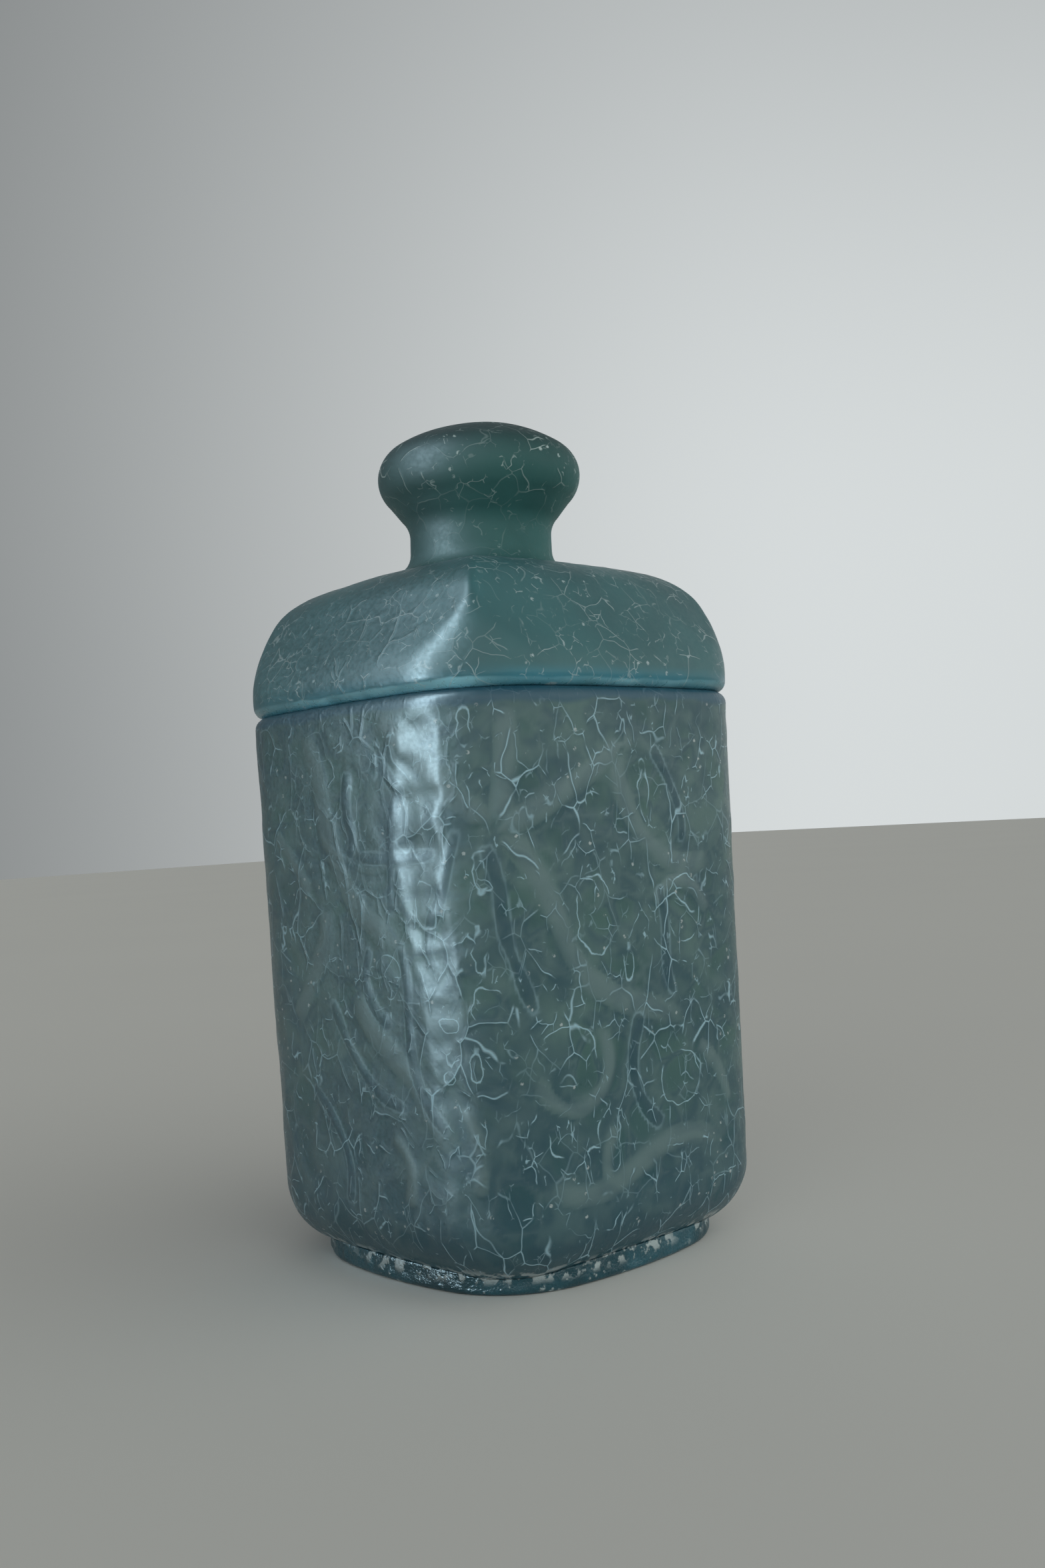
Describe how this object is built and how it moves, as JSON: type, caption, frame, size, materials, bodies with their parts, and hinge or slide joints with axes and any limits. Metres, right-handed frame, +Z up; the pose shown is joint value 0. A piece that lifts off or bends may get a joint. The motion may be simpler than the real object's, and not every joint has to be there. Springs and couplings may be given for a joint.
{
  "type": "lidded glass canister",
  "caption": "Square crackle-glass canister with rounded corners, an inset foot and a domed drop-in lid with a round mushroom knob.",
  "frame": {"origin": "centre of the underside of the foot, on the table", "axes": "+Z up along the canister's axis; the four sides face +X, -X, +Y and -Y"},
  "size_m": [0.1022, 0.1022, 0.2056],
  "materials": {
    "jar_glass": "satin crackled blue-green glass with white healed cracks",
    "foot_glass": "satin darker blue glass, chipped along its edge",
    "lid_glass": "satin blue-green glass with sparse short cracks",
    "knob_glass": "smooth satin dark green glass",
    "seal_silicone": "clear matt silicone"
  },
  "bodies": {
    "jar": {"jar_body": "jar_glass", "foot": "foot_glass"},
    "lid": {"lid_shell": "lid_glass", "lid_knob": "knob_glass", "lid_seal": "seal_silicone"}
  },
  "joints": [
    {"name": "lid_lift", "type": "slide", "parent": "jar", "child": "lid", "axis": [0, 0, 1], "range_m": [0, 0.12]}
  ]
}
